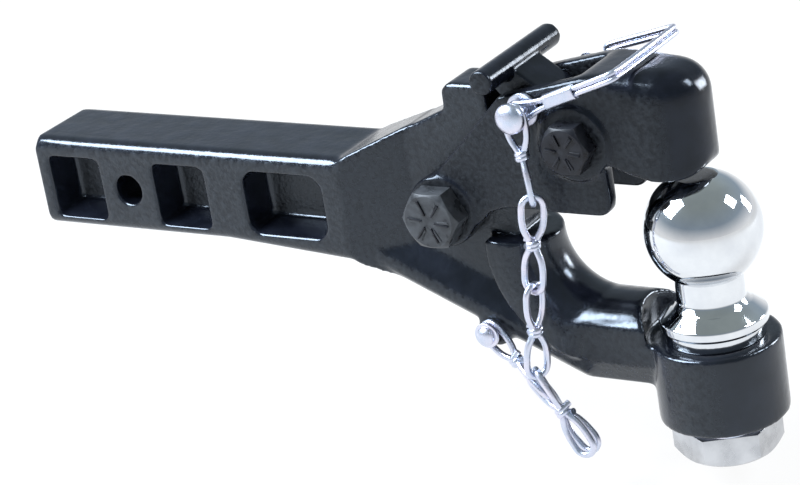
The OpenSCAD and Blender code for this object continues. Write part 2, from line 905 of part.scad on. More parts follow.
// One wire of the doubled bail, from the sleeve round the two bends to the closed end before the pin's tip
function bail_run(s) =
    let (off = s * bail_pair / 2, bend = 5, lift = 3)
    concat(
        [on_bail(bail_reach - bend, bail_y, off), on_bail(bail_reach - 1.5, bail_y + 1.5, off)],
        [on_bail(bail_reach, bail_y + bend, off), on_bail(bail_reach, bail_far_y - bend, off)],
        [on_bail(bail_reach - 1.5, bail_far_y - 1.5, off), on_bail(bail_reach - bend, bail_far_y, off)],
        [on_bail(bail_stop, bail_far_y, lift + off)]
    );

// The wire starts and ends inside the sleeve
module pin_bail() {
    middle = sleeve_start + sleeve_len / 2;
    out = bail_run(1);
    back = bail_run(-1);
    last = len(out) - 1;
    closed_end = [for (a = [60:-60:-60])
        (out[last] + back[last]) / 2 + bail_pair / 2 * (-cos(a) * bail_out + sin(a) * bail_up)];
    color(zinc)
        wire(concat(
            [on_bail(middle + side_fit, bail_y, bail_pair / 2)],
            out, closed_end, [for (k = [last:-1:0]) back[k]],
            [on_bail(sleeve_start - 2, bail_y, -bail_pair / 2)],
            [for (a = [310:-20:50]) on_bail(eye_r * cos(a), bail_y, eye_r * sin(a))],
            [on_bail(sleeve_start - 2, bail_y, bail_pair / 2), on_bail(middle, bail_y, bail_pair / 2)]
        ), bail_wire, bail_up);
}

module bail_sleeve() {
    bore = bail_wire + 0.1;
    outer = bore + 2 * sleeve_wall;
    color(zinc)
        translate(on_bail(sleeve_start, bail_y, 0))
            rotate([0, -bail_rise, 0])
                rotate([90, 0, 90])
                    linear_extrude(sleeve_len)
                        difference() {
                            union() {
                                square([outer, bail_pair], center = true);
                                for (s = [-1, 1])
                                    translate([0, s * bail_pair / 2])
                                        circle(d = outer);
                            }
                            square([bore, bail_pair], center = true);
                            for (s = [-1, 1])
                                translate([0, s * bail_pair / 2])
                                    circle(d = bore);
                        }
}

// Chain and rivet

rivet_face = -rim_w / 2;
rivet_neck = chain_wire + 3.2;
rivet_y = rivet_face - rivet_neck / 2;

module chain_rivet() {
    head = rivet_face - rivet_neck;
    color(zinc)
        turned_y([rivet_x, rivet_z])
            polygon(concat(
                [[0, 6], [rivet_d / 2, 6], [rivet_d / 2, head], [rivet_flange_d / 2, head]],
                [[rivet_flange_d / 2, head - 1.6]],
                [for (k = [0:6]) [rivet_flange_d * 0.38 * cos(15 * k), head - 1.6 - 3.4 * sin(15 * k)]]
            ));
}

// Chain joints seen from the side (x, z). Three links hang straight, the fourth turns the bottom,
// and the last two climb to the rivet behind it, with the fifth slid up inside the sixth.
// How far each joint of the hanging run stands out from its top one
stand_out = [0, 1.8, 4.8, 6.2, 7.4];
// How far the foot of the climbing run stands out
climb_out = 1.2;
slide_up = 12;
hang_top = pin + [0, (pin_neck_d + loop_gap) / 2];
hang_knee = hang_top + chain_pitch * [sin(lean_top), -cos(lean_top)];
hang_dir = [-sin(lean_hang), -cos(lean_hang)];
hang = concat([hang_top], [for (k = [0:2]) hang_knee + k * chain_pitch * hang_dir]);
rivet_at = [rivet_x, rivet_z];
climb = 2 * chain_pitch - slide_up - (rivet_d + loop_gap) / 2;
span = rivet_at - hang[3];
span_dir = unit(span);
along_span = (pow(chain_pitch, 2) - pow(climb, 2) + span * span) / (2 * norm(span));
off_span = sqrt(pow(chain_pitch, 2) - pow(along_span, 2));
bottom = hang[3] + along_span * span_dir + off_span * [-span_dir[1], span_dir[0]];
chain_out = neck_end + chain_wire / 2 + loop_gap;
run = [for (k = [0:4]) let (at = k < 4 ? hang[k] : bottom) [at[0], chain_out - stand_out[k], at[1]]];
foot = [bottom[0], chain_out - climb_out, bottom[1]];
rivet_3d = [rivet_x, rivet_y, rivet_z];
climb_dir = unit(foot - rivet_3d);

// Upper joint and direction of each link
link_at = [run[0], run[1], run[2], run[3], foot, rivet_3d - (rivet_d + loop_gap) / 2 * climb_dir];
link_dir = concat([for (k = [0:3]) unit(run[k + 1] - run[k])], [-climb_dir, climb_dir]);
// Turn of each link's first and second loop about the link, degrees
link_turns = [[0, 55], [-37, 6], [-73, -54], [53, 0], [0, -21], [0, 63]];

// One loop of a link, along +Z from its outer end, in the XZ plane
module wire_loop(length) {
    r = (loop_w - chain_wire) / 2;
    for (end = [0, 1])
        translate([0, 0, end == 0 ? r : length - r])
            rotate([90, end == 0 ? 180 : 0, 0])
                rotate_extrude(angle = 180)
                    translate([r, 0])
                        circle(d = chain_wire);
    for (s = [-1, 1])
        translate([s * r, 0, r])
            cylinder(d = chain_wire, h = length - 2 * r);
}

// A double-loop link: two loops knotted together at the middle
module chain_link(k) {
    d = link_dir[k];
    e = unit(cross([0, 1, 0], d));
    f = cross(d, e);
    p = link_at[k];
    reach = (chain_wire + loop_gap) / 2;
    middle = chain_pitch / 2;
    loop_len = middle + reach - chain_wire * 0.45;
    knot_r = 1.1 * chain_wire;
    color(zinc)
        multmatrix([
            [e[0], f[0], d[0], p[0]], [e[1], f[1], d[1], p[1]], [e[2], f[2], d[2], p[2]], [0, 0, 0, 1]
        ]) {
            translate([0, 0, -reach])
                rotate([0, 0, link_turns[k][0]])
                    wire_loop(loop_len);
            translate([0, 0, chain_pitch + reach])
                rotate([0, 0, link_turns[k][1]])
                    mirror([0, 0, 1])
                        wire_loop(loop_len);
            translate([0, 0, middle - chain_wire])
                cylinder(r = knot_r, h = 2 * chain_wire);
        }
}

// Every piece, one node each

hook_body();
pivot_bush();
tow_ball();
ball_lock_washer();
ball_nut();
chain_rivet();
latch();
pivot_bolt();
pivot_washer();
pivot_nut();
lock_bolt();
lock_washer();
lock_nut();
lock_lever();
lock_spring();
safety_pin();
pin_bail();
bail_sleeve();
chain_link(0);  // chain_link_1
chain_link(1);  // chain_link_2
chain_link(2);  // chain_link_3
chain_link(3);  // chain_link_4
chain_link(4);  // chain_link_5
chain_link(5);  // chain_link_6
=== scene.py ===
"""Pintle hook with a tow ball: castings, plated hardware and safety chain, dressed over the CAD frame."""
import json
import math

import bmesh
import bpy
from mathutils import Matrix, Vector


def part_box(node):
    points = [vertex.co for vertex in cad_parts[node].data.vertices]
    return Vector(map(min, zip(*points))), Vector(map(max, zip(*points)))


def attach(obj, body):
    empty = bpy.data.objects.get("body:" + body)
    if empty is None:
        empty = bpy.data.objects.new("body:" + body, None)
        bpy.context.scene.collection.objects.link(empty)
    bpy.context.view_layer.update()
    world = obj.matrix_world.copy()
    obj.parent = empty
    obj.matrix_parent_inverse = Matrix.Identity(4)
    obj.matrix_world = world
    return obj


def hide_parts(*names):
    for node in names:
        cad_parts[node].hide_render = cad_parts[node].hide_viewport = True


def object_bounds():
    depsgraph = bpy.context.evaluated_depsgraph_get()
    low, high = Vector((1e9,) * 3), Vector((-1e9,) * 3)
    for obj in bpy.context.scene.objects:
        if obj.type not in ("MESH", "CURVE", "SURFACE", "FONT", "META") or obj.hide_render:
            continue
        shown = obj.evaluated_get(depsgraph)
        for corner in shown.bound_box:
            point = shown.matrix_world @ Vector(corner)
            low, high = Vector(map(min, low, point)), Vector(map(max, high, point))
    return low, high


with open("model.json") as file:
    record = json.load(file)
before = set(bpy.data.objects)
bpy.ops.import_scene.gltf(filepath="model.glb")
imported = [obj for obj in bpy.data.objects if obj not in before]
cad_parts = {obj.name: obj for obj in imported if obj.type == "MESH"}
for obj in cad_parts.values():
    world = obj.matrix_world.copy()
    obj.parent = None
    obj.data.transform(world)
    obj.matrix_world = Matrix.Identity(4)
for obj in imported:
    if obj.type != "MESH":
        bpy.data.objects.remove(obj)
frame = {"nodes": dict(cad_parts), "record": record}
cad_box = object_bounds()
nodes = frame["nodes"]

MM = 0.001

# Sizes in millimetres and angles in degrees; main sizes are the solids' own, edge rounding is the scene's

# Shank: how far forward its long corners run, where they lie and how round they are
SHANK_END = 205
SHANK_TOP = 25
SHANK_LOW = -23
SHANK_SIDE = 20
SHANK_ROUND = 6

# Tow ball
BALL_X = 331
BALL_Z = -5.4
BALL_R = 29.37
BALL_FLAT_R = 11
CROWN_EASE = 0.5
CROWN_RISE = 0.2
CROWN_ROUND = 0.4
NECK_R = 17
NECK_FLARE = 2.5
NECK_FLARE_LOW = 1
NECK_FLARE_TOP = 2
FLANGE_R = 27
FLANGE_FOOT_R = 25
FLANGE_FOOT = 6.5
FLANGE_STEP = 0.8
FLANGE_BAND = 5
FLANGE_CONE = 7
BALL_SHANK_R = 15.875
BALL_TIP_EASE = 1
BALL_TIP_EASE_H = 1.5
BOSS_TOP = -61.7
BALL_TIP = -126.7
BALL_EASE = 0.9
BALL_STEPS = 160

# Strokes on the bolt heads
MARKS = 6
MARK_START = 8
MARK_W = 1.0
MARK_H = 0.9
MARK_EASE = 0.3

# Corners broken on machined pieces
BOLT_EASE = 0.6
BALL_NUT_EASE = 0.7
WASHER_EASE = 0.4
TURNED_EASE = 0.5
TURNED_STEPS = 64
CORNER_ANGLE = 25
SHARP_ANGLE = 35

# Safety pin
LATCH_HALF = 24
SIDE_FIT = 0.3
PIN = Vector((255.5, 0, 61))
PIN_R = 4.75
COLLAR_R = 8.5
COLLAR_T = 2
NECK_PIN_R = 3.3
NECK_LEN = 10.8
DOME_R = 7.8
DOME_H = 5.5
DOME_RIM = 1
PIN_STANDS_OUT = 19
PIN_TIP = LATCH_HALF + PIN_STANDS_OUT
TIP_LAND = 2
TIP_EASE = 2
TIP_EASE_LEN = 1.5
GROOVE_W = 5
GROOVE_DEPTH = 1.2
PIN_SEAT = -LATCH_HALF - SIDE_FIT
NECK_END = PIN_SEAT - COLLAR_T - NECK_LEN
GROOVE_Y = PIN_TIP - GROOVE_W - TIP_LAND

# Bail and its sleeve
NOSE_TOP = 79
BAIL_WIRE = 2.8
BAIL_GAP = 0.1
BAIL_PAIR = BAIL_WIRE + BAIL_GAP
BAIL_CROSS_X = 310.5
BAIL_TOP = NOSE_TOP + (BAIL_WIRE + BAIL_PAIR) / 2 + 2 * SIDE_FIT
BAIL_TWIST = 20
EYE_PLAY = 0.5
EYE_R = NECK_PIN_R + BAIL_WIRE / 2 + EYE_PLAY
EYE_START = 310
EYE_STEP = 20
EYE_POINTS = 14
BAIL_Y = PIN_SEAT - COLLAR_T - SIDE_FIT - EYE_R * math.sin(math.radians(BAIL_TWIST)) - BAIL_WIRE / 2
BAIL_FAR_Y = GROOVE_Y + GROOVE_W / 2
BAIL_STOP = 16.5
BAIL_BEND = 5
BAIL_CORNER = 1.5
BAIL_LIFT = 3
CLOSED_END = 1.4
SLEEVE_START = 17
SLEEVE_LEN = 18
SLEEVE_LEAD = 2

# Safety chain: wire, knotted links and how they hang
CHAIN_WIRE = 3.4
CHAIN_PITCH = 46
LOOP_W = 14.4
LOOP_GAP = 0.6
LOOP_WAIST = ((1.3, 0), (1.8, 2.5), (4.6, 7.5))
LOOP_SHOULDER = 13
LOOP_STRAIGHT = 3
KNOT_R = 2.2
KNOT_WRAPS = 1.75
KNOT_SPREAD = 1.02
KNOT_TAIL = 4.4
KNOT_STEPS = 30
LEAN_TOP = 6
LEAN_HANG = 5.5
SLIDE_UP = 12
STAND_OUT = (0, 1.8, 4.8, 6.2, 7.4)
CLIMB_OUT = 1.2
LINK_TURNS = ((0, 55), (-37, 6), (-73, -54), (53, 0), (0, -21), (0, 63))
KNOT_TURNS = (100, 60, 60, 200, 150, 240)

# Rivet that holds the chain
RIVET = Vector((217, 0, -61.5))
RIVET_R = 2.8
RIVET_FLANGE_R = 6.7
RIVET_FLANGE_T = 1.6
RIVET_DOME_SHARE = 0.76
RIVET_DOME_H = 3.4
RIVET_BURIED = 6
RIVET_FACE = -21.5
RIVET_PLAY = 3.2
RIVET_NECK = CHAIN_WIRE + RIVET_PLAY

# Share of a flank: where a face's sideways normal starts and ends to count
FLANK_FROM = 0.86
FLANK_FULL = 0.985

# Places in a Mix node of its two inputs and its output, for values and for colours
MIX_SOCKETS = {"FLOAT": (2, 3, 0), "RGBA": (6, 7, 2)}


def body_of(node):
    """The body that a CAD node belongs to."""
    bodies = frame["record"]["behaviour"]["bodies"]
    return next(body for body, members in bodies.items() if node in members)


# Materials

def finish_nodes(name):
    """A new material with its node tree, its shader and a texture coordinate in object space."""
    material = bpy.data.materials.new(name)
    material.use_nodes = True
    tree = material.node_tree
    place = tree.nodes.new("ShaderNodeTexCoord").outputs["Object"]
    return material, tree, tree.nodes["Principled BSDF"], place


def noise(tree, place, scale, detail):
    """Noise in object space; scale is in lumps per metre."""
    node = tree.nodes.new("ShaderNodeTexNoise")
    node.inputs["Scale"].default_value = scale
    node.inputs["Detail"].default_value = detail
    node.inputs["Roughness"].default_value = 0.55
    tree.links.new(place, node.inputs["Vector"])
    return node.outputs["Fac"]


def spread(tree, value, low, high, from_low=0.35, from_high=0.65):
    """Maps a noise value to a range."""
    node = tree.nodes.new("ShaderNodeMapRange")
    node.inputs["From Min"].default_value = from_low
    node.inputs["From Max"].default_value = from_high
    node.inputs["To Min"].default_value = low
    node.inputs["To Max"].default_value = high
    tree.links.new(value, node.inputs["Value"])
    return node.outputs["Result"]


def two_tone(tree, value, first, second, start=0.35, end=0.65):
    """Blends two colours by a noise value."""
    node = tree.nodes.new("ShaderNodeValToRGB")
    node.color_ramp.elements[0].position = start
    node.color_ramp.elements[1].position = end
    node.color_ramp.elements[0].color = (*first, 1)
    node.color_ramp.elements[1].color = (*second, 1)
    tree.links.new(value, node.inputs["Fac"])
    return node.outputs["Color"]


def bump(tree, height, strength, depth_mm, below=None):
    """A bump layer, laid over another one where below is given; strength is a number or a socket."""
    node = tree.nodes.new("ShaderNodeBump")
    if isinstance(strength, bpy.types.NodeSocket):
        tree.links.new(strength, node.inputs["Strength"])
    else:
        node.inputs["Strength"].default_value = strength
    node.inputs["Distance"].default_value = depth_mm * MM
    tree.links.new(height, node.inputs["Height"])
    if below is not None:
        tree.links.new(below, node.inputs["Normal"])
    return node.outputs["Normal"]


def side_share(tree):
    """How far a face looks sideways: nought on top, below and at rounded edges, one on the two flanks."""
    normal = tree.nodes.new("ShaderNodeTexCoord").outputs["Normal"]
    split = tree.nodes.new("ShaderNodeSeparateXYZ")
    tree.links.new(normal, split.inputs["Vector"])
    size = tree.nodes.new("ShaderNodeMath")
    size.operation = "ABSOLUTE"
    tree.links.new(split.outputs["Y"], size.inputs[0])
    return spread(tree, size.outputs[0], 0, 1, FLANK_FROM, FLANK_FULL)


def blend(tree, share, first, second, kind="FLOAT"):
    """Mixes two values, or two colours, by a share."""
    node = tree.nodes.new("ShaderNodeMix")
    node.data_type = kind
    first_at, second_at, result_at = MIX_SOCKETS[kind]
    tree.links.new(share, node.inputs["Factor"])
    tree.links.new(first, node.inputs[first_at])
    tree.links.new(second, node.inputs[second_at])
    return node.outputs[result_at]


def cast_paint(name, sheen):
    """Black paint over cast steel: glossy where it was fettled, rough and matt on the flanks, whose base
    colour is painted lighter and speckled: partly the casting's pits, partly painted light and shade.
    """
    material, tree, shader, place = finish_nodes(name)
    link = tree.links.new
    lumps = noise(tree, place, 75, 2)
    peel = noise(tree, place, 420, 4)
    grit = noise(tree, place, 1300, 2)
    flank = side_share(tree)
    deep = two_tone(tree, lumps, (0.0025, 0.003, 0.005), (0.006, 0.007, 0.011))
    # On the flanks the base colour turns lighter with dark specks: partly the casting's pits, partly painted
    # light and painted shade for the grey reflections and dark pits that sideways faces show.
    painted_flank_light_and_pits = two_tone(tree, peel, (0.003, 0.003, 0.004), (0.012, 0.013, 0.015), 0.38, 0.64)
    link(blend(tree, flank, deep, painted_flank_light_and_pits, "RGBA"), shader.inputs["Base Color"])
    gloss = spread(tree, peel, 0.12, 0.22)
    matt = spread(tree, peel, 0.28, 0.46)
    link(blend(tree, flank, gloss, matt), shader.inputs["Roughness"])
    skin = bump(tree, lumps, 0.22, 1.0)
    skin = bump(tree, grit, 0.22, 0.06, skin)
    coarse = spread(tree, flank, 0.08, 0.60, 0, 1)
    link(bump(tree, peel, coarse, 0.8, skin), shader.inputs["Normal"])
    shader.inputs["Specular IOR Level"].default_value = sheen
    shader.inputs["Specular Tint"].default_value = (0.80, 0.89, 1.0, 1)
    return material


def bolt_paint(name, dark, light):
    """Thinner black paint on machined bolts and nuts, rubbed a little at its high spots."""
    material, tree, shader, place = finish_nodes(name)
    link = tree.links.new
    patch = noise(tree, place, 160, 4)
    grain = noise(tree, place, 900, 2)
    link(two_tone(tree, patch, dark, light), shader.inputs["Base Color"])
    link(spread(tree, patch, 0.25, 0.42), shader.inputs["Roughness"])
    link(bump(tree, grain, 0.20, 0.15), shader.inputs["Normal"])
    shader.inputs["Specular IOR Level"].default_value = 0.25
    return material


def chrome_plate():
    """Bright chrome with a faint haze and hairline polish."""
    material, tree, shader, place = finish_nodes("chrome_plate")
    link = tree.links.new
    haze = noise(tree, place, 60, 3)
    polish = noise(tree, place, 2600, 2)
    link(two_tone(tree, haze, (0.66, 0.68, 0.71), (0.76, 0.78, 0.80)), shader.inputs["Base Color"])
    link(spread(tree, haze, 0.03, 0.08), shader.inputs["Roughness"])
    link(bump(tree, polish, 0.03, 0.02), shader.inputs["Normal"])
    shader.inputs["Metallic"].default_value = 1
    return material


def dull_plate():
    """The same plating gone dull on the nut."""
    material, tree, shader, place = finish_nodes("dull_plate")
    link = tree.links.new
    cloud = noise(tree, place, 90, 4)
    grain = noise(tree, place, 1200, 2)
    link(two_tone(tree, cloud, (0.46, 0.47, 0.49), (0.62, 0.63, 0.65)), shader.inputs["Base Color"])
    link(spread(tree, cloud, 0.24, 0.38), shader.inputs["Roughness"])
    link(bump(tree, grain, 0.12, 0.06), shader.inputs["Normal"])
    shader.inputs["Metallic"].default_value = 1
    return material


def zinc_plate():
    """Zinc plating: silver with the lilac and blue cast of its passivation."""
    material, tree, shader, place = finish_nodes("zinc_plate")
    link = tree.links.new
    cast = noise(tree, place, 110, 3)
    draw = noise(tree, place, 1400, 3)
    link(two_tone(tree, cast, (0.56, 0.62, 0.74), (0.72, 0.70, 0.80)), shader.inputs["Base Color"])
    link(spread(tree, draw, 0.26, 0.38), shader.inputs["Roughness"])
    link(bump(tree, draw, 0.05, 0.03), shader.inputs["Normal"])
    shader.inputs["Metallic"].default_value = 1
    return material


def spring_steel():
    """Dark oiled steel of the spring and the pivot bush."""
    material, tree, shader, place = finish_nodes("oiled_steel")
    link = tree.links.new
    stain = noise(tree, place, 240, 3)
    link(two_tone(tree, stain, (0.16, 0.16, 0.17), (0.34, 0.34, 0.36)), shader.inputs["Base Color"])
    link(spread(tree, stain, 0.25, 0.45), shader.inputs["Roughness"])
    shader.inputs["Metallic"].default_value = 1
    return material


# Two copies of one paint: the latch and lever take the copy that reflects less, a shaded copy, painted shade
# that makes them read darker than the hook body.
HOOK_PAINT = cast_paint("hook_black_paint", 0.55)
SHADED_LATCH_PAINT = cast_paint("latch_shaded_black_paint", 0.34)
BOLT = bolt_paint("bolt_black_paint", (0.005, 0.005, 0.007), (0.013, 0.014, 0.018))
# The pivot bolt's copy of the bolt paint is lighter: partly a paler satin finish, partly painted light for
# the floor that its head's face reflects.
LIGHTER_BOLT = bolt_paint("bolt_lighter_paint", (0.020, 0.021, 0.023), (0.050, 0.052, 0.056))
CHROME = chrome_plate()
DULL = dull_plate()
ZINC = zinc_plate()
STEEL = spring_steel()


# Making pieces

def add_piece(name, mesh, material, node, replaces=True):
    """Puts a finished mesh in the scene, on the body of its CAD node."""
    mesh.materials.clear()
    mesh.materials.append(material)
    piece = bpy.data.objects.new(name, mesh)
    bpy.context.scene.collection.objects.link(piece)
    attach(piece, body_of(node))
    if replaces:
        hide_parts(node)


def mesh_from(bm, name):
    """Closes a bmesh into a smooth mesh that keeps its sharp edges."""
    mesh = bpy.data.meshes.new(name)
    bm.to_mesh(mesh)
    bm.free()
    mesh.shade_smooth()
    mesh.set_sharp_from_angle(angle=math.radians(SHARP_ANGLE))
    return mesh


def merged_copy(node):
    """A copy of a CAD node's mesh with its triangles joined."""
    bm = bmesh.new()
    bm.from_mesh(nodes[node].data)
    bmesh.ops.remove_doubles(bm, verts=bm.verts, dist=0.002 * MM)
    return bm


def evaluated(piece):
    """The mesh of an object with its modifiers or its bevel applied."""
    bpy.context.view_layer.update()
    return bpy.data.meshes.new_from_object(piece.evaluated_get(bpy.context.evaluated_depsgraph_get()))


def shank_corners(bm):
    """The long edges of the square shank and of the slope that it rises into."""
    found = []
    for edge in bm.edges:
        if len(edge.link_faces) != 2 or max(v.co.x for v in edge.verts) > SHANK_END * MM:
            continue
        flatter, steeper = sorted(abs(face.normal.y) for face in edge.link_faces)
        outer = min(abs(v.co.y) for v in edge.verts) > SHANK_SIDE * MM
        heights = [v.co.z for v in edge.verts]
        corner = min(heights) > SHANK_TOP * MM or max(heights) < SHANK_LOW * MM
        if flatter < 0.3 and steeper > 0.9 and outer and corner:
            found.append(edge)
    return found


def break_edges(bm, edges, width_mm, segments, clamp=True):
    """Rounds the given edges."""
    bmesh.ops.bevel(bm, geom=edges, offset=width_mm * MM, offset_type="OFFSET", segments=segments,
                    profile=0.5, affect="EDGES", clamp_overlap=clamp, material=-1)


def casting(name, node, material, grain_mm, rounds, corners=None):
    """A casting: the node's form with every edge rounded as the sand leaves it."""
    bm = merged_copy(node)
    if corners is not None:
        bmesh.ops.dissolve_limit(bm, angle_limit=math.radians(0.5), verts=bm.verts, edges=bm.edges)
        break_edges(bm, corners(bm), SHANK_ROUND, 6, clamp=False)
    raw = bpy.data.meshes.new(name + "_raw")
    bm.to_mesh(raw)
    bm.free()
    mould = bpy.data.objects.new(name + "_mould", raw)
    bpy.context.scene.collection.objects.link(mould)
    remesh = mould.modifiers.new("Sand", "REMESH")
    remesh.mode = "VOXEL"
    remesh.voxel_size = grain_mm * MM
    soften = mould.modifiers.new("Soften", "SMOOTH")
    soften.factor = 0.5
    soften.iterations = rounds
    mesh = evaluated(mould)
    bpy.data.objects.remove(mould)
    bpy.data.meshes.remove(raw)
    mesh.shade_smooth()
    add_piece(name, mesh, material, node)


def eased_copy(name, node, material, width_mm):
    """A machined piece: the node's form with its corners broken."""
    bm = merged_copy(node)
    bmesh.ops.dissolve_limit(bm, angle_limit=math.radians(1), verts=bm.verts, edges=bm.edges)
    corner = math.radians(CORNER_ANGLE)
    edges = [e for e in bm.edges if len(e.link_faces) == 2 and e.calc_face_angle() > corner]
    break_edges(bm, edges, width_mm, 3)
    add_piece(name, mesh_from(bm, name), material, node)


def eased(points, radius, steps=4):
    """A profile of (radius, height) points with its inner corners rounded."""
    points = [Vector(p) for p in points]
    out = [points[0]]
    for before, corner, after in zip(points, points[1:], points[2:]):
        cut = min(radius, (before - corner).length * 0.45, (after - corner).length * 0.45)
        start = corner + (before - corner).normalized() * cut
        end = corner + (after - corner).normalized() * cut
        for k in range(steps + 1):
            t = k / steps
            out.append((1 - t) ** 2 * start + 2 * t * (1 - t) * corner + t ** 2 * end)
    return out + [points[-1]]


def turned(profile, centre, axis, steps):
    """Spins a profile of (radius, height) points about an axis through centre; sizes in mm."""
    axis = Vector(axis)
    across = axis.orthogonal().normalized()
    bm = bmesh.new()
    verts = [bm.verts.new((Vector(centre) + across * r + axis * h) * MM) for r, h in profile]
    edges = [bm.edges.new(pair) for pair in zip(verts, verts[1:])]
    bmesh.ops.spin(bm, geom=verts + edges, cent=Vector(centre) * MM, axis=axis, dvec=(0, 0, 0),
                   angle=2 * math.pi, steps=steps, use_merge=True)
    bmesh.ops.remove_doubles(bm, verts=bm.verts, dist=0.01 * MM)
    bmesh.ops.recalc_face_normals(bm, faces=bm.faces)
    return bm


def wire_mesh(name, runs, radius_mm):
    """A mesh of round wire along one or more runs of points, in mm."""
    curve = bpy.data.curves.new(name, "CURVE")
    curve.dimensions = "3D"
    curve.bevel_depth = radius_mm * MM
    curve.bevel_resolution = 5
    curve.use_fill_caps = True
    curve.resolution_u = 6
    for run in runs:
        spline = curve.splines.new("NURBS")
        spline.points.add(len(run) - 1)
        for point, place in zip(spline.points, run):
            point.co = (*(place * MM), 1)
        spline.order_u = 3
        spline.use_endpoint_u = True
    holder = bpy.data.objects.new(name + "_wire", curve)
    bpy.context.scene.collection.objects.link(holder)
    mesh = evaluated(holder)
    bpy.data.objects.remove(holder)
    mesh.shade_smooth()
    return mesh


# Castings

casting("hook_casting", "hook_body", HOOK_PAINT, grain_mm=1.2, rounds=12, corners=shank_corners)
casting("latch_casting", "latch", SHADED_LATCH_PAINT, grain_mm=1.0, rounds=24)
casting("lever_casting", "lock_lever", SHADED_LATCH_PAINT, grain_mm=0.7, rounds=14)


# Tow ball, nut and washer

def tow_ball():
    """The ball on its neck, the flange and the shank."""
    seat = BOSS_TOP - BALL_Z
    band = seat + FLANGE_FOOT
    cone = band + FLANGE_BAND
    neck = cone + FLANGE_CONE
    tip = BALL_TIP - BALL_Z
    flat = math.acos(BALL_FLAT_R / BALL_R)
    low = -math.acos(NECK_R / BALL_R)
    steps = 48
    arc = [(BALL_R * math.cos(a), BALL_R * math.sin(a)) for a in
           (low + (flat - low) * k / steps for k in range(steps + 1))]
    top = arc[-1][1] + CROWN_RISE
    foot = eased([(0, tip), (BALL_SHANK_R - BALL_TIP_EASE, tip), (BALL_SHANK_R, tip + BALL_TIP_EASE_H),
                  (BALL_SHANK_R, seat), (FLANGE_FOOT_R, seat), (FLANGE_FOOT_R, band),
                  (FLANGE_R, band + FLANGE_STEP), (FLANGE_R, cone),
                  (NECK_R + NECK_FLARE, neck - NECK_FLARE_LOW), (NECK_R, neck + NECK_FLARE_TOP), arc[0]],
                 BALL_EASE)
    crown = eased([arc[-1], (BALL_FLAT_R - CROWN_EASE, top), (0, top)], CROWN_ROUND)
    profile = [tuple(p) for p in foot] + arc[1:-1] + [tuple(p) for p in crown]
    bm = turned(profile, (BALL_X, 0, BALL_Z), (0, 0, 1), BALL_STEPS)
    return mesh_from(bm, "tow_ball_chrome")


add_piece("tow_ball_chrome", tow_ball(), CHROME, "tow_ball")
eased_copy("ball_nut_plated", "ball_nut", DULL, BALL_NUT_EASE)
eased_copy("ball_washer_plated", "ball_lock_washer", ZINC, WASHER_EASE)


# Bolts, washers and nuts of the latch

eased_copy("pivot_bolt_painted", "pivot_bolt", LIGHTER_BOLT, BOLT_EASE)
for part in ("lock_bolt", "pivot_nut", "lock_nut"):
    eased_copy(part + "_painted", part, BOLT, BOLT_EASE)
for part in ("pivot_washer", "lock_washer"):
    eased_copy(part + "_painted", part, BOLT, WASHER_EASE)


def grade_marks(name, node, inner, outer):
    """Six raised strokes on a bolt head's face."""
    low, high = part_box(node)
    centre = Vector(((low.x + high.x) / 2, low.y, (low.z + high.z) / 2))
    shift = Matrix.Translation(((inner + outer) / 2 * MM, 0, 0))
    size = Matrix.Diagonal(((outer - inner) * MM, MARK_H * MM, MARK_W * MM, 1))
    bm = bmesh.new()
    for k in range(MARKS):
        turn = Matrix.Rotation(math.radians(360 / MARKS * k + MARK_START), 4, "Y")
        bmesh.ops.create_cube(bm, size=1, matrix=Matrix.Translation(centre) @ turn @ shift @ size)
    break_edges(bm, bm.edges[:], MARK_EASE, 2)
    add_piece(name, mesh_from(bm, name), BOLT, node, replaces=False)


# The strokes take the dark bolt paint; on the pivot bolt's lighter head this is painted shade, standing in
# for the shadow along the strokes' sides.
grade_marks("pivot_bolt_marks", "pivot_bolt", inner=3.5, outer=11.8)
grade_marks("lock_bolt_marks", "lock_bolt", inner=3.2, outer=9.6)


# Safety pin, bail and sleeve

def safety_pin():
    """The pin: domed head, neck, collar, shaft and the groove at its tip."""
    r = PIN_R
    groove_r = r - GROOVE_DEPTH
    collar = PIN_SEAT - COLLAR_T
    dome = [(DOME_R * math.cos(a), NECK_END - DOME_RIM - (DOME_H - DOME_RIM) * math.sin(a)) for a in
            (math.radians(90 - 6 * k) for k in range(16))]
    rest = [dome[-1], (DOME_R, NECK_END), (NECK_PIN_R, NECK_END), (NECK_PIN_R, collar), (COLLAR_R, collar),
            (COLLAR_R, PIN_SEAT), (r, PIN_SEAT), (r, GROOVE_Y), (groove_r, GROOVE_Y),
            (groove_r, GROOVE_Y + GROOVE_W), (r, GROOVE_Y + GROOVE_W), (r, PIN_TIP - TIP_EASE_LEN),
            (r - TIP_EASE, PIN_TIP), (0, PIN_TIP)]
    profile = dome[:-1] + [tuple(p) for p in eased(rest, TURNED_EASE)]
    return mesh_from(turned(profile, PIN, (0, 1, 0), TURNED_STEPS), "safety_pin_zinc")


add_piece("safety_pin_zinc", safety_pin(), ZINC, "safety_pin")

bail_rise = math.atan2(BAIL_TOP - PIN.z, BAIL_CROSS_X - PIN.x)
bail_out = Vector((math.cos(bail_rise), 0, math.sin(bail_rise)))
bail_up = Vector((-math.sin(bail_rise), 0, math.cos(bail_rise)))
bail_reach = math.hypot(BAIL_CROSS_X - PIN.x, BAIL_TOP - PIN.z)


def on_bail(along, y, above):
    """A point of the bail: along it, across it and above its plane."""
    return PIN + Vector((0, y, 0)) + along * bail_out + above * bail_up


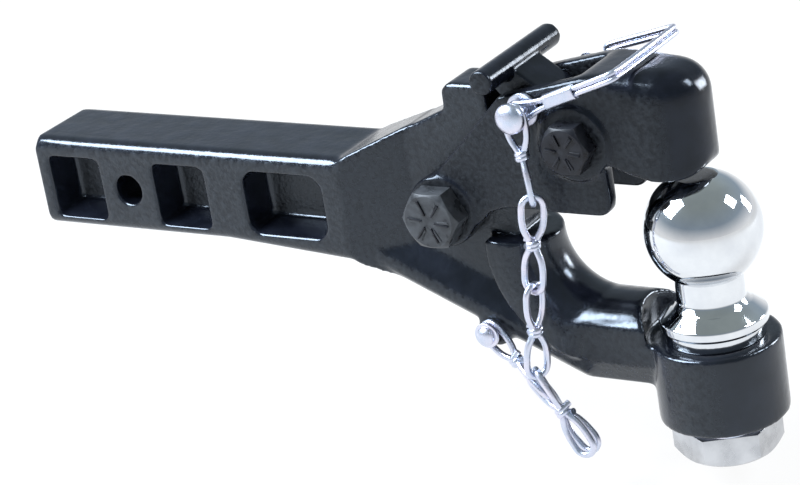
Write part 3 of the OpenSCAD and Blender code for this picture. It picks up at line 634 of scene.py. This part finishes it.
def bail_run(side):
    """One wire of the doubled bail, from the sleeve to the closed end before the pin's tip."""
    off = side * BAIL_PAIR / 2
    bend = bail_reach - BAIL_BEND
    corner = bail_reach - BAIL_CORNER
    far = BAIL_FAR_Y
    return [on_bail(bend, BAIL_Y, off), on_bail(corner, BAIL_Y + BAIL_CORNER, off),
            on_bail(bail_reach, BAIL_Y + BAIL_BEND, off), on_bail(bail_reach, far - BAIL_BEND, off),
            on_bail(corner, far - BAIL_CORNER, off), on_bail(bend, far, off),
            on_bail(bail_reach - 3 * BAIL_BEND, far, BAIL_LIFT / 4 + off),
            on_bail(BAIL_STOP + BAIL_BEND, far, BAIL_LIFT + off), on_bail(BAIL_STOP, far, BAIL_LIFT + off)]


def pin_bail():
    """The bail: one wire that starts and ends inside the sleeve."""
    middle = SLEEVE_START + SLEEVE_LEN / 2
    lead = SLEEVE_START - SLEEVE_LEAD
    half = BAIL_PAIR / 2
    out = bail_run(1)
    back = bail_run(-1)
    turn = (out[-1] + back[-1]) / 2 - half * CLOSED_END * bail_out
    eye = [on_bail(EYE_R * math.cos(a), BAIL_Y, EYE_R * math.sin(a)) for a in
           (math.radians(EYE_START - EYE_STEP * k) for k in range(EYE_POINTS))]
    run = ([on_bail(middle, BAIL_Y, half)] + out + [turn] + back[::-1] + [on_bail(lead, BAIL_Y, -half)] + eye
           + [on_bail(lead, BAIL_Y, half), on_bail(middle, BAIL_Y, half)])
    return wire_mesh("pin_bail_wire", [run], BAIL_WIRE / 2)


add_piece("pin_bail_wire", pin_bail(), ZINC, "pin_bail")
eased_copy("bail_sleeve_crimped", "bail_sleeve", ZINC, WASHER_EASE)


# Rivet and safety chain

def chain_rivet():
    """The rivet's shank, flange and domed head."""
    head = RIVET_FACE - RIVET_NECK
    rim = head - RIVET_FLANGE_T
    dome_r = RIVET_FLANGE_R * RIVET_DOME_SHARE
    dome = [(dome_r * math.cos(a), rim - RIVET_DOME_H * math.sin(a)) for a in
            (math.radians(90 - 7.5 * k) for k in range(13))]
    rest = [dome[-1], (RIVET_FLANGE_R, rim), (RIVET_FLANGE_R, head), (RIVET_R, head), (RIVET_R, RIVET_BURIED),
            (0, RIVET_BURIED)]
    profile = dome[:-1] + [tuple(p) for p in eased(rest, TURNED_EASE)]
    return mesh_from(turned(profile, RIVET, (0, 1, 0), TURNED_STEPS), "chain_rivet_zinc")


add_piece("chain_rivet_zinc", chain_rivet(), ZINC, "chain_rivet")


def chain_places():
    """The upper joint and the direction of each of the six links."""
    out = NECK_END + CHAIN_WIRE / 2 + LOOP_GAP
    lean_top = math.radians(LEAN_TOP)
    lean_hang = math.radians(LEAN_HANG)
    top = Vector((PIN.x, PIN.z + NECK_PIN_R + LOOP_GAP / 2))
    knee = top + CHAIN_PITCH * Vector((math.sin(lean_top), -math.cos(lean_top)))
    down = Vector((-math.sin(lean_hang), -math.cos(lean_hang)))
    hang = [top] + [knee + k * CHAIN_PITCH * down for k in range(3)]
    rivet = Vector((RIVET.x, RIVET.z))
    play = RIVET_R + LOOP_GAP / 2
    climb = 2 * CHAIN_PITCH - SLIDE_UP - play
    span = rivet - hang[3]
    along = (CHAIN_PITCH ** 2 - climb ** 2 + span.length_squared) / (2 * span.length)
    off = math.sqrt(CHAIN_PITCH ** 2 - along ** 2)
    span_dir = span.normalized()
    bottom = hang[3] + along * span_dir + off * Vector((-span_dir.y, span_dir.x))
    run = [Vector((p.x, out - lag, p.y)) for p, lag in zip(hang + [bottom], STAND_OUT)]
    foot = Vector((bottom.x, out - CLIMB_OUT, bottom.y))
    rivet_at = Vector((RIVET.x, RIVET_FACE - RIVET_NECK / 2, RIVET.z))
    climb_dir = (foot - rivet_at).normalized()
    dirs = [(b - a).normalized() for a, b in zip(run, run[1:])]
    return run[:4] + [foot, rivet_at - play * climb_dir], dirs + [-climb_dir, climb_dir]


def half_loop(turn_deg, from_far_end):
    """Centre line of one loop of a link: out from the waist, round the end and back."""
    turn = math.radians(turn_deg)
    reach = (CHAIN_WIRE + LOOP_GAP) / 2
    r = (LOOP_W - CHAIN_WIRE) / 2
    middle = CHAIN_PITCH / 2
    leg = [(u, middle - down) for u, down in LOOP_WAIST]
    leg += [(r, middle - LOOP_SHOULDER), (r, r - reach + LOOP_STRAIGHT)]
    arc = [(r * math.cos(a), r - reach - r * math.sin(a)) for a in (math.radians(22.5 * k) for k in range(9))]
    path = leg + arc + [(-u, z) for u, z in reversed(leg)]
    if from_far_end:
        path = [(u, CHAIN_PITCH - z) for u, z in path]
    return [Vector((u * math.cos(turn), u * math.sin(turn), z)) for u, z in path]


def knot(turn_deg):
    """The wire's two ends, wound about the waist and left standing out at one side."""
    start = math.radians(turn_deg)
    rise = CHAIN_WIRE * KNOT_SPREAD
    coil = []
    for k in range(KNOT_STEPS + 1):
        a = start + KNOT_WRAPS * 2 * math.pi * k / KNOT_STEPS
        z = CHAIN_PITCH / 2 - rise / 2 + rise * k / KNOT_STEPS
        coil.append(Vector((KNOT_R * math.cos(a), KNOT_R * math.sin(a), z)))
    first = coil[0] + (coil[0] - coil[1]).normalized() * KNOT_TAIL
    last = coil[-1] + (coil[-1] - coil[-2]).normalized() * KNOT_TAIL
    return [first] + coil + [last]


for k, (at, way) in enumerate(zip(*chain_places())):
    across = Vector((0, 1, 0)).cross(way).normalized()
    to_link = Matrix((across, way.cross(across), way)).transposed().to_4x4()
    to_link.translation = at
    near_turn, far_turn = LINK_TURNS[k]
    runs = [half_loop(near_turn, False), half_loop(far_turn, True), knot(KNOT_TURNS[k])]
    link_name = "chain_link_%d" % (k + 1)
    link_wire = wire_mesh(link_name + "_wire", [[to_link @ p for p in run] for run in runs], CHAIN_WIRE / 2)
    add_piece(link_name + "_wire", link_wire, ZINC, link_name)


# Hidden steel keeps its CAD form

for part in ("lock_spring", "pivot_bush"):
    nodes[part].data.materials.clear()
    nodes[part].data.materials.append(STEEL)


# Stage, light and camera

# In metres, but for the lens
LENS_MM = 126
SENSOR_MM = 36
FLOOR_DROP = 0.012
FLOOR_HALF = 6
FLOOR_MIDDLE_X = 0.15
PAPER_WHITE = (0.9, 0.9, 0.9, 1)
CAMERA_AT = (0.93529, -1.09621, 0.51425)
RIGHT = Vector((0.83883, 0.52180, -0.15519))
UP = Vector((-0.07786, 0.39714, 0.91445))
BACK = Vector((0.53879, -0.75498, 0.37377))


def stage_white():
    """White floor that stays white to the camera and in the plating, and keeps a soft shadow."""
    material = bpy.data.materials.new("stage_white")
    material.use_nodes = True
    tree = material.node_tree
    link = tree.links.new
    tree.nodes.remove(tree.nodes["Principled BSDF"])
    seen = tree.nodes.new("ShaderNodeLightPath").outputs
    any_view = tree.nodes.new("ShaderNodeMath")
    any_view.operation = "MAXIMUM"
    link(seen["Is Camera Ray"], any_view.inputs[0])
    link(seen["Is Transmission Ray"], any_view.inputs[1])
    in_gloss = tree.nodes.new("ShaderNodeMath")
    in_gloss.operation = "MULTIPLY"
    in_gloss.inputs[1].default_value = 0.85
    link(seen["Is Glossy Ray"], in_gloss.inputs[0])
    share = tree.nodes.new("ShaderNodeMath")
    share.operation = "MULTIPLY_ADD"
    share.inputs[1].default_value = 0.9
    link(any_view.outputs[0], share.inputs[0])
    link(in_gloss.outputs[0], share.inputs[2])
    paper = tree.nodes.new("ShaderNodeBsdfDiffuse")
    paper.inputs["Color"].default_value = PAPER_WHITE
    glow = tree.nodes.new("ShaderNodeEmission")
    mix = tree.nodes.new("ShaderNodeMixShader")
    link(share.outputs[0], mix.inputs["Fac"])
    link(paper.outputs[0], mix.inputs[1])
    link(glow.outputs[0], mix.inputs[2])
    link(mix.outputs[0], tree.nodes["Material Output"].inputs["Surface"])
    return material


def add_floor():
    """A plain white floor under the hook."""
    bm = bmesh.new()
    place = Matrix.Translation((FLOOR_MIDDLE_X, 0, cad_box[0][2] - FLOOR_DROP))
    bmesh.ops.create_grid(bm, x_segments=1, y_segments=1, size=FLOOR_HALF, matrix=place)
    mesh = bpy.data.meshes.new("floor")
    bm.to_mesh(mesh)
    bm.free()
    mesh.materials.append(stage_white())
    floor = bpy.data.objects.new("floor", mesh)
    bpy.context.scene.collection.objects.link(floor)


def add_world():
    """White to the camera; to the rest a studio, bright at its horizon and dimmer behind the camera."""
    world = bpy.data.worlds.new("studio")
    bpy.context.scene.world = world
    world.use_nodes = True
    tree = world.node_tree
    link = tree.links.new
    way = tree.nodes.new("ShaderNodeTexCoord").outputs["Generated"]
    split = tree.nodes.new("ShaderNodeSeparateXYZ")
    link(way, split.inputs["Vector"])
    height = tree.nodes.new("ShaderNodeValToRGB")
    stops = height.color_ramp.elements
    stops[0].position = 0.0
    stops[0].color = (0.92, 0.93, 0.95, 1)
    stops[1].position = 0.85
    stops[1].color = (0.34, 0.39, 0.39, 1)
    stops.new(0.34).color = (0.33, 0.40, 0.47, 1)
    link(split.outputs["Z"], height.inputs["Fac"])
    toward = tree.nodes.new("ShaderNodeVectorMath")
    toward.operation = "DOT_PRODUCT"
    toward.inputs[1].default_value = BACK
    link(way, toward.inputs[0])
    side = tree.nodes.new("ShaderNodeMapRange")
    side.inputs["From Min"].default_value = -0.2
    side.inputs["From Max"].default_value = 0.8
    side.inputs["To Min"].default_value = 1.0
    side.inputs["To Max"].default_value = 0.8
    link(toward.outputs["Value"], side.inputs["Value"])
    room = tree.nodes["Background"]
    link(height.outputs["Color"], room.inputs["Color"])
    link(side.outputs["Result"], room.inputs["Strength"])
    white = tree.nodes.new("ShaderNodeBackground")
    white.inputs["Color"].default_value = (1, 1, 1, 1)
    mix = tree.nodes.new("ShaderNodeMixShader")
    seen = tree.nodes.new("ShaderNodeLightPath").outputs
    link(seen["Is Camera Ray"], mix.inputs["Fac"])
    link(room.outputs[0], mix.inputs[1])
    link(white.outputs[0], mix.inputs[2])
    link(mix.outputs[0], tree.nodes["World Output"].inputs["Surface"])


def add_softbox(name, place, aim, size, power, colour):
    """A rectangular soft light."""
    lamp = bpy.data.lights.new(name, "AREA")
    lamp.shape = "RECTANGLE"
    lamp.size, lamp.size_y = size
    lamp.energy = power
    lamp.color = colour
    box = bpy.data.objects.new(name, lamp)
    box.location = place
    box.rotation_euler = (Vector(aim) - Vector(place)).to_track_quat("-Z", "Y").to_euler()
    bpy.context.scene.collection.objects.link(box)


def add_camera():
    """The photograph's view."""
    lens = bpy.data.cameras.new("photo_view")
    lens.lens = LENS_MM
    lens.sensor_width = SENSOR_MM
    lens.clip_end = 50
    camera = bpy.data.objects.new("photo_view", lens)
    turn = Matrix((RIGHT, UP, BACK)).transposed().to_4x4()
    camera.matrix_world = Matrix.Translation(CAMERA_AT) @ turn
    bpy.context.scene.collection.objects.link(camera)
    bpy.context.scene.camera = camera


add_floor()
add_world()
add_softbox("left_window", place=(-0.55, -0.48, 0.98), aim=(0.15, 0, 0), size=(0.8, 0.8), power=62,
            colour=(0.78, 0.88, 1.0))
add_softbox("right_window", place=(1.13, 0.42, 0.73), aim=(0.30, 0, 0), size=(0.35, 0.35), power=9,
            colour=(0.84, 0.91, 1.0))
add_softbox("back_strip", place=(0.90, 0.76, 0.22), aim=(0.28, 0, -0.01), size=(0.22, 0.30), power=4.5,
            colour=(0.90, 0.94, 1.0))
add_camera()
bpy.context.scene.view_settings.view_transform = "Standard"
